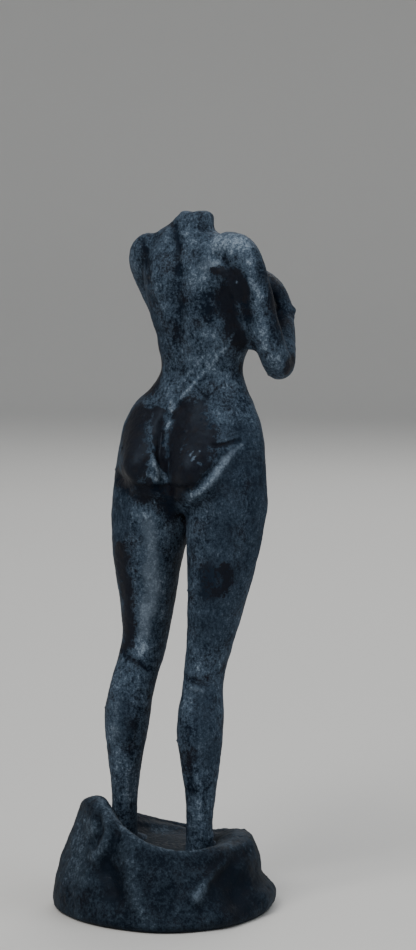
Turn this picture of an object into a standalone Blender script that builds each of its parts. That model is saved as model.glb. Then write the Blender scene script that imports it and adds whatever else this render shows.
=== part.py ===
"""A headless standing figure on a hollow rock, taken apart as it would come apart on a bench.

The figure is one smooth form that is sawn into castings: torso, neck plug, two arms and two legs.
Dowels key the castings together, threaded studs hold the legs on the rock, and a cover plate with
a felt pad closes the underside of the rock.

Sizes are in millimetres and become metres through MM. +Z is up and the figure faces -Y, so its
right side is at -X. The origin is on the floor, under the middle of the rock.
"""

import math

import bmesh
import bpy
from mathutils import Matrix, Vector

MM = 0.001
GAP = 0.3  # clearance between two castings where they meet
PIN_GAP = 0.12  # radial clearance of a dowel, stud or screw in its hole

# Levels that the other sizes are worked out from.
FELT_THICK = 1.2
PLATE_THICK = 1.6
PLATE_BOTTOM_Z = FELT_THICK + GAP
ROCK_BOTTOM_Z = 0.4  # the felt stands this far proud of the rock
ROCK_CEILING_Z = 8.0  # top of the hollow under the rock
ROCK_FLOOR_Z = 12.5  # bottom of the basin that the feet stand in
SOLE_Z = ROCK_FLOOR_Z + GAP
CROTCH = Vector((-4.3, -8.0, 118.0))
NECK_SEAM_Z = 198.6

# Torso sections: height, middle x, middle y, half width, depth to the front, depth to the back.
TORSO = [
    (114.5, -4.2, -8.0, 8.0, 6.0, 5.0),
    (117.0, -4.0, -8.1, 15.0, 8.6, 7.4),
    (120.0, -3.9, -8.2, 21.4, 11.2, 9.0),
    (124.0, -3.9, -8.4, 23.5, 12.6, 9.6),
    (130.0, -4.0, -8.8, 23.7, 13.0, 9.4),
    (136.0, -4.0, -9.4, 22.9, 12.6, 9.0),
    (141.0, -4.0, -10.2, 21.2, 11.6, 8.6),
    (146.0, -4.2, -11.5, 18.5, 10.4, 8.4),
    (150.0, -4.8, -12.4, 15.4, 9.6, 8.4),
    (154.5, -5.3, -13.2, 12.7, 9.2, 8.6),
    (158.0, -5.5, -13.2, 12.5, 9.4, 9.0),
    (162.0, -5.8, -13.0, 14.0, 10.0, 9.4),
    (166.0, -5.8, -12.7, 15.0, 10.8, 9.8),
    (172.0, -4.8, -12.1, 15.6, 11.2, 10.4),
    (180.0, -4.0, -11.6, 15.8, 10.6, 10.4),
    (186.0, -4.0, -11.2, 15.8, 9.2, 9.4),
    (190.5, -4.0, -11.0, 14.6, 7.6, 7.8),
    (193.5, -3.0, -11.0, 12.0, 6.2, 6.6),
    (195.6, -1.6, -11.0, 8.8, 5.4, 5.8),
    (197.4, -3.0, -11.2, 6.8, 5.1, 5.3),
    (199.5, -4.2, -11.4, 5.6, 5.0, 5.0),
    (201.2, -4.5, -11.4, 4.6, 4.2, 4.2),
]

# Relief on the torso: side (1 back, -1 front), x, z, spread in x, spread in z, height.
RELIEF = [
    (1, -12.2, 128.5, 8.2, 10.0, 8.6),  # right buttock
    (1, 7.2, 128.5, 7.6, 10.0, 7.6),  # left buttock
    (1, -2.2, 125.0, 1.8, 10.0, -3.0),  # cleft between them
    (1, -12.4, 181.5, 4.6, 6.5, 1.7),  # right shoulder blade
    (1, 4.2, 181.5, 4.6, 6.5, 1.7),  # left shoulder blade
    (1, -4.0, 170.0, 2.0, 22.0, -1.1),  # hollow of the spine
    (-1, -10.8, 173.0, 6.0, 5.8, 6.6),  # right breast
    (-1, 2.6, 173.0, 6.0, 5.8, 6.6),  # left breast
    (-1, -4.2, 133.0, 10.0, 11.0, 2.2),  # belly
    (-1, -4.9, 148.5, 1.4, 1.4, -1.2),  # navel
]

# Leg sections: height, middle x, middle y, half width, half depth.
RIGHT_LEG = [
    (128.0, -16.4, -8.8, 11.2, 9.6),
    (118.0, -16.3, -8.5, 12.0, 10.9),
    (110.0, -15.8, -8.3, 11.1, 10.6),
    (99.0, -14.8, -7.8, 9.9, 9.9),
    (88.0, -13.6, -6.8, 8.2, 8.8),
    (78.0, -12.3, -5.8, 6.8, 7.4),
    (71.0, -11.5, -4.6, 6.1, 6.6),
    (64.0, -11.3, -3.0, 5.9, 6.3),
    (57.0, -11.6, -1.3, 6.6, 7.1),
    (50.0, -11.8, -0.4, 6.5, 7.1),
    (43.0, -12.2, 0.0, 5.7, 6.1),
    (36.0, -12.4, 0.2, 4.6, 5.0),
    (29.0, -12.3, 0.6, 4.0, 4.4),
    (22.0, -12.3, 0.8, 3.9, 4.5),
    (15.0, -12.3, 0.8, 4.0, 4.9),
]
LEFT_LEG = [
    (128.0, 8.2, -8.4, 11.2, 9.6),
    (118.0, 8.6, -8.0, 11.6, 10.9),
    (110.0, 9.2, -8.0, 11.3, 10.6),
    (101.0, 9.8, -7.8, 10.0, 10.0),
    (88.0, 9.8, -7.6, 8.0, 8.6),
    (78.0, 10.0, -7.0, 6.8, 7.2),
    (71.0, 10.8, -5.2, 6.6, 7.0),
    (64.0, 11.8, -2.6, 6.6, 6.9),
    (57.0, 12.3, -0.8, 6.7, 7.1),
    (50.0, 12.6, 0.0, 6.1, 6.7),
    (43.0, 12.6, 0.5, 5.1, 5.7),
    (36.0, 12.6, 0.8, 4.2, 4.7),
    (29.0, 12.6, 1.0, 3.7, 4.2),
    (22.0, 12.6, 1.0, 3.7, 4.4),
    (15.0, 12.6, 1.0, 3.9, 4.8),
]

# A foot along its length: distance in front of the heel, height, half width, half height.
FOOT = [
    (0.0, 3.2, 1.8, 2.2),
    (2.6, 3.8, 3.2, 3.8),
    (7.0, 4.2, 3.4, 4.2),
    (12.0, 3.0, 3.6, 3.0),
    (17.0, 2.1, 3.8, 2.1),
    (20.5, 1.6, 3.0, 1.5),
]
FOOT_TURN = math.radians(3.0)  # each foot points a little outwards
HEEL_Y = 5.4

# Arm sections: point on the middle line, half width, half depth. The hand is the flat far end.
RIGHT_ARM = [
    ((-15.0, -9.5, 190.2), 4.4, 4.4),
    ((-19.2, -8.9, 190.2), 5.0, 5.0),
    ((-22.0, -8.6, 187.2), 5.0, 5.2),
    ((-23.8, -9.6, 182.0), 4.6, 4.9),
    ((-25.1, -11.4, 174.5), 4.4, 4.6),
    ((-26.3, -13.2, 166.5), 4.5, 4.6),
    ((-27.8, -15.2, 160.4), 4.3, 4.4),
    ((-27.6, -19.2, 157.0), 4.1, 4.3),
    ((-26.2, -23.6, 160.0), 4.0, 4.2),
    ((-23.6, -28.8, 165.6), 3.7, 3.9),
    ((-21.9, -33.2, 170.2), 3.0, 3.5),
    ((-20.9, -34.4, 173.4), 2.4, 4.1),
    ((-18.0, -33.0, 178.2), 2.2, 4.7),
    ((-14.8, -30.8, 181.2), 2.0, 4.6),
    ((-11.2, -28.2, 183.0), 1.8, 4.1),
    ((-7.6, -25.6, 183.8), 1.3, 3.0),
]
LEFT_ARM = [
    ((7.0, -10.0, 190.0), 4.4, 4.4),
    ((10.8, -10.6, 190.0), 4.9, 4.9),
    ((13.0, -12.6, 186.8), 4.9, 5.1),
    ((13.2, -15.8, 181.6), 4.5, 4.7),
    ((12.4, -20.2, 174.5), 4.1, 4.4),
    ((11.4, -24.2, 167.0), 4.0, 4.2),
    ((10.4, -27.8, 160.5), 4.1, 4.3),
    ((8.8, -30.6, 155.0), 4.0, 4.2),
    ((6.6, -31.8, 148.0), 3.9, 4.0),
    ((4.0, -32.0, 139.0), 3.3, 3.4),
    ((2.0, -31.4, 131.5), 2.4, 3.1),
    ((0.8, -30.6, 128.0), 2.1, 3.6),
    ((-0.9, -28.8, 122.8), 2.0, 4.3),
    ((-2.4, -26.8, 118.2), 1.9, 4.1),
    ((-3.6, -24.8, 114.2), 1.6, 3.6),
    ((-4.4, -23.2, 111.2), 1.1, 2.6),
]

# The rock every 30 degrees from +X towards +Y: radius at the floor, at half height and at the rim,
# the height of the rim, and how thick the rim is.
ROCK = [
    (31.2, 29.8, 24.0, 27.0, 6.6),
    (32.2, 30.6, 24.2, 31.6, 7.6),
    (31.6, 29.6, 24.4, 29.0, 6.6),
    (32.0, 29.8, 25.2, 25.2, 5.4),
    (34.8, 31.4, 26.2, 21.4, 5.0),
    (32.6, 30.4, 25.8, 20.4, 5.0),
    (31.8, 30.2, 25.6, 20.8, 5.0),
    (32.0, 30.2, 25.4, 21.2, 5.0),
    (32.2, 30.4, 26.0, 20.2, 5.0),
    (32.5, 31.0, 27.0, 18.8, 5.0),
    (32.5, 31.0, 27.0, 20.2, 5.0),
    (31.6, 30.4, 25.5, 24.0, 5.6),
]
ROCK_SIDES = 40
BASIN_WALL = 3.6  # thickness of the wall at the bottom of the basin
ROCK_SHELL = 4.5  # thickness of the wall round the hollow underside

TORSO_WALL = 3.4
PLUG_RADIUS = 2.4
ARM_DOWEL = (1.25, 10.0)  # radius, length
HIP_DOWEL = (2.0, 18.0)
HIP_TILT = math.atan2(0.6, 0.8)  # the hip seams rise outwards from the crotch
STUD_RADIUS = 1.5
STUD_TOP_Z = 26.0
STUD_BOTTOM_Z = 4.2
STUD_SPOTS = {"right": (-12.3, 0.8), "left": (12.6, 1.0)}
WASHER = (3.4, 0.5)  # radius, thickness
NUT = (3.1, 2.2)  # radius over the corners, thickness
SCREW_COUNT = 3
SCREW_CIRCLE = 20.0
SCREW_TURN = math.radians(75.0)
SCREW_RADIUS = 1.2
SCREW_HEAD_RADIUS = 2.3
SCREW_TOP_Z = 7.4
BOSS_RADIUS = 3.4

VOXEL = 0.9  # grain of the mesh that fuses the figure
BODY_KEEP = 0.058  # share of the fine mesh that the finished body keeps
ARM_KEEP = 0.085

BRONZE = ("patinated_bronze", (0.045, 0.058, 0.07, 1.0), 0.55, 0.6)
ROCK_BRONZE = ("patinated_bronze_rock", (0.06, 0.06, 0.065, 1.0), 0.5, 0.7)
STEEL = ("zinc_steel", (0.55, 0.55, 0.53, 1.0), 1.0, 0.35)
FELT = ("grey_felt", (0.03, 0.035, 0.033, 1.0), 0.0, 0.95)


def new_collection(name):
    made = bpy.data.collections.new(name)
    bpy.context.scene.collection.children.link(made)
    return made


def material(name, colour, metallic, roughness):
    found = bpy.data.materials.get(name) or bpy.data.materials.new(name)
    found.use_nodes = True
    shader = found.node_tree.nodes["Principled BSDF"]
    shader.inputs["Base Color"].default_value = colour
    shader.inputs["Metallic"].default_value = metallic
    shader.inputs["Roughness"].default_value = roughness
    return found


def add_object(name, shape, finish, smooth=True):
    """A named object from a bmesh in millimetres, with its faces pointing out."""
    bmesh.ops.recalc_face_normals(shape, faces=shape.faces)
    bmesh.ops.scale(shape, vec=(MM, MM, MM), verts=shape.verts)
    mesh = bpy.data.meshes.new(name)
    shape.to_mesh(mesh)
    shape.free()
    return add_mesh(name, mesh, finish, smooth)


def add_mesh(name, mesh, finish, smooth=True):
    mesh.materials.clear()
    mesh.materials.append(material(*finish))
    if smooth:
        mesh.shade_smooth()
        mesh.set_sharp_from_angle(angle=math.radians(40.0))
    made = bpy.data.objects.new(name, mesh)
    PARTS.objects.link(made)
    return made


def as_cutter(obj):
    """Moves an object to the cutters, out of the finished part."""
    PARTS.objects.unlink(obj)
    CUTTERS.objects.link(obj)
    obj.hide_render = True
    obj.display_type = "WIRE"
    return obj


def boolean(obj, cutter, operation="DIFFERENCE"):
    modifier = obj.modifiers.new(cutter.name, "BOOLEAN")
    modifier.object = cutter
    modifier.operation = operation
    modifier.solver = "EXACT"


def cut(obj, *cutters):
    for cutter in cutters:
        boolean(obj, cutter)


def evaluated_mesh(obj):
    graph = bpy.context.evaluated_depsgraph_get()
    return bpy.data.meshes.new_from_object(obj.evaluated_get(graph))


def between(four_rows, t):
    """The row at a share t of the way from the second row to the third, on a Catmull-Rom curve."""
    weights = (
        (-t + 2 * t**2 - t**3) / 2,
        (2 - 5 * t**2 + 3 * t**3) / 2,
        (t + 4 * t**2 - 3 * t**3) / 2,
        (-(t**2) + t**3) / 2,
    )
    return [sum(w * v for w, v in zip(weights, column)) for column in zip(*four_rows)]


def smooth_rows(rows, steps):
    """The rows, with steps - 1 more placed smoothly between each two."""
    made = []
    last = len(rows) - 1
    for i in range(last):
        around = [rows[max(0, min(last, i + offset))] for offset in (-1, 0, 1, 2)]
        made.extend(between(around, step / steps) for step in range(steps))
    made.append(list(rows[last]))
    return made


def skin_rings(shape, rings):
    """Faces between closed rings of equal count, with a face on each end ring."""
    rows = [[shape.verts.new(point) for point in ring] for ring in rings]
    count = len(rows[0])
    for low, high in zip(rows, rows[1:]):
        for i in range(count):
            j = (i + 1) % count
            shape.faces.new((low[i], low[j], high[j], high[i]))
    shape.faces.new(reversed(rows[0]))
    shape.faces.new(rows[-1])


def skinned(name, rings, finish):
    shape = bmesh.new()
    skin_rings(shape, rings)
    return add_object(name, shape, finish)


def level_ring(x, y, z, half_width, front, back, sides=40):
    """A level oval whose front (-Y) and back may differ in depth."""
    points = []
    for i in range(sides):
        angle = 2 * math.pi * i / sides
        depth = back if math.sin(angle) > 0 else front
        points.append(Vector((x + half_width * math.cos(angle), y + depth * math.sin(angle), z)))
    return points


def round_ring(x, y, z, radius, sides=20):
    return level_ring(x, y, z, radius, radius, radius, sides)


def relieved(point, middle_y):
    """A point of the torso's skin, pushed out or in by the relief."""
    push = 0.0
    for side, x, z, spread_x, spread_z, height in RELIEF:
        if side * (point.y - middle_y) > 0:
            fade = min(1.0, abs(point.y - middle_y) / 5.0)
            reach = ((point.x - x) / spread_x) ** 2 + ((point.z - z) / spread_z) ** 2
            push += side * height * fade * math.exp(-reach)
    return Vector((point.x, point.y + push, point.z))


def torso_skin(shape):
    rings = []
    for z, x, y, half_width, front, back in smooth_rows(TORSO, 4):
        ring = level_ring(x, y, z, half_width, front, back, sides=72)
        rings.append([relieved(point, y) for point in ring])
    skin_rings(shape, rings)


def leg_skin(shape, sections):
    rows = smooth_rows(sections, 3)
    skin_rings(shape, [level_ring(x, y, z, w, d, d) for z, x, y, w, d in rows])


def foot_skin(shape, x, turn):
    facing = Matrix.Rotation(turn, 3, "Z")
    rings = []
    for ahead, height, half_width, half_height in smooth_rows(FOOT, 3):
        ring = []
        for i in range(20):
            angle = 2 * math.pi * i / 20
            across = facing @ Vector((half_width * math.cos(angle), -ahead, 0.0))
            up = max(0.0, height + half_height * math.sin(angle))
            ring.append(Vector((x, HEEL_Y, SOLE_Z + up)) + across)
        rings.append(ring)
    skin_rings(shape, rings)


def arm_skin(shape, sections, sides=24):
    """A tube along the arm, whose section keeps its turn from one ring to the next."""
    rows = smooth_rows([(*point, w, d) for point, w, d in sections], 3)
    points = [Vector(row[:3]) for row in rows]
    across = Vector((0.0, 0.0, 1.0))
    rings = []
    for i, row in enumerate(rows):
        along = (points[min(i + 1, len(points) - 1)] - points[max(i - 1, 0)]).normalized()
        across = (across - along * across.dot(along)).normalized()
        deep = along.cross(across)
        ring = []
        for k in range(sides):
            angle = 2 * math.pi * k / sides
            ring.append(points[i] + across * row[3] * math.cos(angle) + deep * row[4] * math.sin(angle))
        rings.append(ring)
    skin_rings(shape, rings)


def fused(name, shape, keep):
    """A bmesh of overlapping skins made one smooth body, thinned to the share of faces in keep."""
    rough = add_object(name + "_skins", shape, BRONZE)
    remesh = rough.modifiers.new("fuse", "REMESH")
    remesh.mode = "VOXEL"
    remesh.voxel_size = VOXEL * MM
    smooth = rough.modifiers.new("smooth", "SMOOTH")
    smooth.factor = 0.5
    smooth.iterations = 6
    thin = rough.modifiers.new("thin", "DECIMATE")
    thin.ratio = keep
    body = add_mesh(name, evaluated_mesh(rough), BRONZE)
    bpy.data.objects.remove(rough)
    return body


def half_space(name, point, normal):
    """A large cutter block that starts at a point and fills the side that the normal points to."""
    size = 300.0
    shape = bmesh.new()
    turn = normal.to_track_quat("Z", "Y").to_matrix().to_4x4()
    place = Matrix.Translation(point + normal.normalized() * size / 2) @ turn
    bmesh.ops.create_cube(shape, size=size, matrix=place)
    return as_cutter(add_object(name, shape, BRONZE, smooth=False))


def rod(name, start, end, radius, finish, sides=20):
    """A cylinder from one point to another."""
    axis = end - start
    turn = axis.to_track_quat("Z", "Y").to_matrix().to_4x4()
    shape = bmesh.new()
    bmesh.ops.create_cone(
        shape,
        cap_ends=True,
        segments=sides,
        radius1=radius,
        radius2=radius,
        depth=axis.length,
        matrix=Matrix.Translation((start + end) / 2) @ turn,
    )
    return add_object(name, shape, finish)


def bore(name, start, end, radius, sides=20):
    """A cutter for a round hole that runs a little past both ends."""
    past = (end - start).normalized() * GAP
    return as_cutter(rod(name, start - past, end + past, radius + PIN_GAP, BRONZE, sides))


def hip_normal(side):
    """The direction that crosses a hip seam, from the torso down into the leg."""
    out = -1.0 if side == "right" else 1.0
    return Vector((out * math.sin(HIP_TILT), 0.0, -math.cos(HIP_TILT)))


def dowel_ends(side, joint):
    """Where the two ends of a dowel are, at a shoulder or a hip."""
    if joint == "shoulder":
        middle = Vector((-17.0, -9.2, 190.0) if side == "right" else (9.0, -10.3, 189.8))
        along = Vector((1.0, 0.0, 0.0))
        length = ARM_DOWEL[1]
    else:
        x = -14.5 if side == "right" else 6.4
        middle = Vector((x, -7.5, CROTCH.z + math.tan(HIP_TILT) * abs(x - CROTCH.x)))
        along = hip_normal(side)
        length = HIP_DOWEL[1]
    return middle - along * length / 2, middle + along * length / 2


def build_dowels():
    """The four dowels, and their bores by side and joint."""
    bores = {}
    for joint, (radius, _length) in (("shoulder", ARM_DOWEL), ("hip", HIP_DOWEL)):
        for side in ("right", "left"):
            start, end = dowel_ends(side, joint)
            rod(f"{side}_{joint}_dowel", start, end, radius, STEEL)
            bores[side, joint] = bore(f"{side}_{joint}_bore", start, end, radius)
    return bores


def torso_core():
    """The casting core: a smaller torso inside the torso, open through the neck."""
    rings = []
    for z, x, y, half_width, front, back in smooth_rows(TORSO, 2):
        if 143.0 < z < 183.0:
            inset = [size - TORSO_WALL for size in (half_width, front, back)]
            rings.append(level_ring(x, y, z, *inset, sides=28))
    neck_x, neck_y = TORSO[-1][1:3]
    for z in (188.0, 204.0):
        rings.append(round_ring(neck_x, neck_y, z, PLUG_RADIUS + PIN_GAP, sides=28))
    return as_cutter(skinned("torso_core", rings, BRONZE))


def build_figure(bores, stud_bores):
    shape = bmesh.new()
    torso_skin(shape)
    for sections, turn in ((RIGHT_LEG, -FOOT_TURN), (LEFT_LEG, FOOT_TURN)):
        leg_skin(shape, sections)
        foot_skin(shape, sections[-1][1], turn)
    body = fused("torso", shape, BODY_KEEP)
    legs = {side: add_mesh(f"{side}_leg", body.data.copy(), BRONZE) for side in ("right", "left")}
    build_arms(body, bores)
    for side, leg in legs.items():
        across = hip_normal(side)
        out = Vector((math.copysign(1.0, across.x), 0.0, 0.0))
        cut(body, half_space(f"{side}_hip_saw", CROTCH - across * GAP / 2, across))
        cut(leg, half_space(f"above_{side}_hip", CROTCH + across * GAP / 2, -across))
        cut(leg, half_space(f"beside_{side}_leg", CROTCH + out * GAP / 2, -out))
        cut(leg, bores[side, "hip"], stud_bores[side])
        cut(body, bores[side, "hip"])
    for side in legs:
        cut(body, bores[side, "shoulder"])
    neck_seam = Vector((CROTCH.x, CROTCH.y, NECK_SEAM_Z))
    cut(body, half_space("neck_saw", neck_seam, Vector((0.0, 0.0, 1.0))), torso_core())


def build_arms(body, bores):
    """Both arms, each fitted to the body with a gap all round."""
    grown = as_cutter(add_mesh("grown_body", body.data.copy(), BRONZE))
    swell = grown.modifiers.new("swell", "DISPLACE")
    swell.strength = GAP * MM
    swell.mid_level = 0.0
    for side, sections in (("right", RIGHT_ARM), ("left", LEFT_ARM)):
        shape = bmesh.new()
        arm_skin(shape, sections)
        arm = fused(f"{side}_arm", shape, ARM_KEEP)
        cut(arm, grown, bores[side, "shoulder"])


def build_neck_plug():
    """A cap that carries on the neck's outline, on a spigot that fills the bore."""
    x, y = TORSO[-1][1:3]
    spigot_bottom = NECK_SEAM_Z - 9.0
    seat = NECK_SEAM_Z + GAP
    rows = (
        (spigot_bottom, PLUG_RADIUS),
        (seat, PLUG_RADIUS),
        (seat, 5.3),
        (200.2, 5.0),
        (201.0, 4.2),
        (201.3, 2.6),
    )
    skinned("neck_plug", [round_ring(x, y, z, radius) for z, radius in rows], BRONZE)


def rock_values(angle):
    """The rock's sizes in one direction, smooth all the way round."""
    share, at = math.modf(angle / (2 * math.pi / len(ROCK)))
    around = [ROCK[(int(at) + offset) % len(ROCK)] for offset in (-1, 0, 1, 2)]
    return between(around, share)


def rock_profile(angle):
    """Radius and height along the rock's skin, from the middle of the basin round to the underside."""
    floor_radius, middle_radius, rim_radius, rim_z, rim_thick = rock_values(angle)
    under_radius = floor_radius - ROCK_SHELL
    plate_seat = PLATE_BOTTOM_Z + PLATE_THICK + GAP
    basin_radius = 0.5 * (rim_radius + middle_radius) - BASIN_WALL
    return [
        (0.3 * basin_radius, ROCK_FLOOR_Z),
        (0.8 * basin_radius, ROCK_FLOOR_Z),
        (basin_radius, ROCK_FLOOR_Z + 0.6),
        (rim_radius - rim_thick + 1.6, 0.5 * (ROCK_FLOOR_Z + rim_z)),
        (rim_radius - rim_thick + 0.4, rim_z - 2.2),
        (rim_radius - rim_thick + 1.4, rim_z - 0.5),
        (rim_radius - 0.5 * rim_thick, rim_z),
        (rim_radius - 0.9, rim_z - 1.0),
        (rim_radius + 0.4, rim_z - 3.2),
        (0.5 * (rim_radius + middle_radius), 0.72 * rim_z),
        (middle_radius, 0.42 * rim_z),
        (floor_radius, 2.6),
        (floor_radius - 0.7, ROCK_BOTTOM_Z),
        (under_radius, ROCK_BOTTOM_Z),
        (under_radius, plate_seat),
        (under_radius - 2.0, plate_seat),
        (under_radius - 3.0, ROCK_CEILING_Z),
        (0.3 * under_radius, ROCK_CEILING_Z),
    ]


def polar_rings(profile, sides=ROCK_SIDES):
    """Rings from a function that gives the profile in each direction."""
    columns = []
    for i in range(sides):
        angle = 2 * math.pi * i / sides
        column = [Vector((r * math.cos(angle), r * math.sin(angle), z)) for r, z in profile(angle)]
        columns.append(column)
    return [list(ring) for ring in zip(*columns)]


def screw_spots():
    for i in range(SCREW_COUNT):
        angle = SCREW_TURN + 2 * math.pi * i / SCREW_COUNT
        yield i + 1, SCREW_CIRCLE * math.cos(angle), SCREW_CIRCLE * math.sin(angle)


def build_rock(stud_bores):
    rock = skinned("rock_base", polar_rings(rock_profile), ROCK_BRONZE)
    boss_bottom = PLATE_BOTTOM_Z + PLATE_THICK + GAP
    for number, x, y in screw_spots():
        bottom, top = Vector((x, y, boss_bottom)), Vector((x, y, ROCK_CEILING_Z + 1.0))
        boolean(rock, as_cutter(rod(f"boss_{number}", bottom, top, BOSS_RADIUS, BRONZE)), "UNION")
    for number, x, y in screw_spots():
        bottom, top = Vector((x, y, 0.0)), Vector((x, y, SCREW_TOP_Z))
        cut(rock, bore(f"boss_bore_{number}", bottom, top, SCREW_RADIUS))
    cut(rock, *stud_bores.values())


def plate_profile(thickness, bottom_z):
    """The profile of a flat plate that fills the opening under the rock."""

    def profile(angle):
        radius = rock_values(angle)[0] - ROCK_SHELL - GAP
        return [(radius, bottom_z + thickness), (radius, bottom_z)]

    return profile


def build_plate_and_felt():
    plate = skinned("base_plate", polar_rings(plate_profile(PLATE_THICK, PLATE_BOTTOM_Z)), STEEL)
    for number, x, y in screw_spots():
        cut(plate, as_cutter(skinned(f"plate_hole_{number}", screw_rings(x, y, PIN_GAP), STEEL)))
        skinned(f"base_plate_screw_{number}", screw_rings(x, y, 0.0), STEEL)
    skinned("felt_pad", polar_rings(plate_profile(FELT_THICK, 0.0)), FELT)


def screw_rings(x, y, grow):
    """A countersunk screw, head down; grow makes it the hole for that screw."""
    past = GAP if grow else 0.0
    low = PLATE_BOTTOM_Z
    rows = (
        (low - past, SCREW_HEAD_RADIUS + grow),
        (low + 0.3, SCREW_HEAD_RADIUS + grow),
        (low + 1.3, SCREW_RADIUS + grow),
        (SCREW_TOP_Z - 0.8, SCREW_RADIUS + grow),
        (SCREW_TOP_Z, 0.5 * SCREW_RADIUS + grow),
    )
    return [round_ring(x, y, z, radius) for z, radius in rows]


def build_studs():
    """The studs up into the ankles, with the washers and nuts that pull them down."""
    bores = {}
    for side, (x, y) in STUD_SPOTS.items():
        bottom, top = Vector((x, y, STUD_BOTTOM_Z)), Vector((x, y, STUD_TOP_Z))
        rod(f"{side}_foot_stud", bottom, top, STUD_RADIUS, STEEL)
        bores[side] = bore(f"{side}_stud_bore", bottom, top, STUD_RADIUS)
        high = Vector((x, y, ROCK_CEILING_Z))
        for name, (radius, thick), sides in (("washer", WASHER, 24), ("nut", NUT, 6)):
            high -= Vector((0.0, 0.0, GAP))
            low = high - Vector((0.0, 0.0, thick))
            cut(rod(f"{side}_{name}", low, high, radius, STEEL, sides), bores[side])
            high = low
    return bores


def main():
    stud_bores = build_studs()
    build_figure(build_dowels(), stud_bores)
    build_neck_plug()
    build_rock(stud_bores)
    build_plate_and_felt()


for leftover in list(bpy.data.objects):
    bpy.data.objects.remove(leftover)
PARTS = new_collection("statuette")
CUTTERS = new_collection("cutters")
main()
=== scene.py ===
"""Looks of a headless standing figure on a hollow rock: a small casting, dry-brushed over dark paint.

The figure is one skin, fused from the same section tables as its castings, then worked over with
strokes as in sculpting and painting, and last parted along the castings' seams. The rock is lofted
round the vertical axis. Sizes are in millimetres and become metres through MM. +Z is up and the
figure faces -Y, so its right side is at -X.
"""

import math

import bmesh
import bpy
import numpy as np
from mathutils import Matrix, Vector, noise
from mathutils.bvhtree import BVHTree
from mathutils.kdtree import KDTree


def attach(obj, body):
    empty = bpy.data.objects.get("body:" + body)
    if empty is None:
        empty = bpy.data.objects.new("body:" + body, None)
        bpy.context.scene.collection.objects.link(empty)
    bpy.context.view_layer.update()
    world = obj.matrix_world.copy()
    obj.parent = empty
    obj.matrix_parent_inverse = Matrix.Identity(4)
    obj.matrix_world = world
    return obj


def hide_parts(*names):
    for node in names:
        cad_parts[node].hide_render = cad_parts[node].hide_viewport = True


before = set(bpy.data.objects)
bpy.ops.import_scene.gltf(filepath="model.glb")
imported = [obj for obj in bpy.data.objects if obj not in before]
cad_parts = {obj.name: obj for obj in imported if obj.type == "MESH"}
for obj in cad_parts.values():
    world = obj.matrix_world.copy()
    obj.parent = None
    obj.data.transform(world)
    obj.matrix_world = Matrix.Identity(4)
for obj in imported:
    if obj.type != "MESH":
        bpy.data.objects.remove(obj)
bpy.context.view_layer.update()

MM = 0.001
VOXEL = 0.45  # grain of the figure's skin
GAP = 0.3  # clearance between two castings
PIN_GAP = 0.12  # radial clearance of a pin in its hole
SOLE_Z = 12.8
CROTCH = Vector((-4.3, -8, 118))
HIP_TILT = math.atan2(0.6, 0.8)  # the hip seams rise outwards from the crotch
NECK_SEAM_Z = 198.75
NECK_TOP_Z = 201.3
BODY_STEPS = 7  # rings from one section of the torso or a leg to the next
TORSO_SIDES = 120
LEG_SIDES = 56
FOOT_SIDES = 32
ARM_SIDES = 40
FINGER_SIDES = 16

# Torso sections: height, middle x, middle y, half width, depth to the front, depth to the back.
TORSO = [
    (114.5, -4.2, -8, 8, 6, 5),
    (117, -4, -8.1, 15, 8.6, 7.4),
    (120, -3.9, -8.2, 21.4, 11.2, 9),
    (124, -3.9, -8.4, 23.5, 12.6, 9.6),
    (130, -4, -8.8, 23.7, 13, 9.4),
    (136, -4, -9.4, 22.9, 12.6, 9),
    (141, -3.7, -10.2, 21.6, 11.6, 8.6),
    (146, -3.9, -11.5, 18.9, 10.4, 8.4),
    (150, -4.8, -12.4, 15.4, 9.6, 8.4),
    (154.5, -5.3, -13.2, 12.7, 9.2, 8.6),
    (158, -5.5, -13.2, 12.5, 9.4, 9),
    (162, -5.8, -13, 14, 10, 9.4),
    (166, -6.1, -12.7, 14.7, 10.8, 9.8),
    (172, -5, -12.1, 15.4, 11.2, 10.4),
    (180, -4, -11.6, 15.8, 10.6, 10.4),
    (186, -4, -11.2, 15.8, 9.2, 9.4),
    (190.5, -4, -11, 14.6, 7.6, 7.8),
    (193.5, -3, -11, 12, 6.2, 6.6),
    (195.6, -1.6, -11, 8.8, 5.4, 5.8),
    (197.4, -3, -11.2, 6.8, 5.1, 5.3),
    (199.5, -4.2, -11.4, 5.6, 5, 5),
    (201.2, -4.5, -11.4, 4.6, 4.2, 4.2),
]

# Relief on the torso: side (1 back, -1 front), x, z, spread in x, spread in z, height.
RELIEF = [
    (1, -12.2, 128.5, 8.2, 10, 8.6),  # right buttock
    (1, 7.2, 128.5, 7.6, 10, 7.6),  # left buttock
    (1, -2.2, 125, 1.8, 10, -3),  # cleft between them
    (1, -12.4, 181.5, 4.6, 6.5, 1.7),  # right shoulder blade
    (1, 4.2, 181.5, 4.6, 6.5, 1.7),  # left shoulder blade
    (1, -4, 170, 2, 22, -1.1),  # hollow of the spine
    (-1, -10.8, 173, 6, 5.8, 6.6),  # right breast
    (-1, 2.6, 173, 6, 5.8, 6.6),  # left breast
    (-1, -4.2, 133, 10, 11, 2.2),  # belly
    (-1, -4.9, 148.5, 1.4, 1.4, -1.2),  # navel
]

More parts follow.
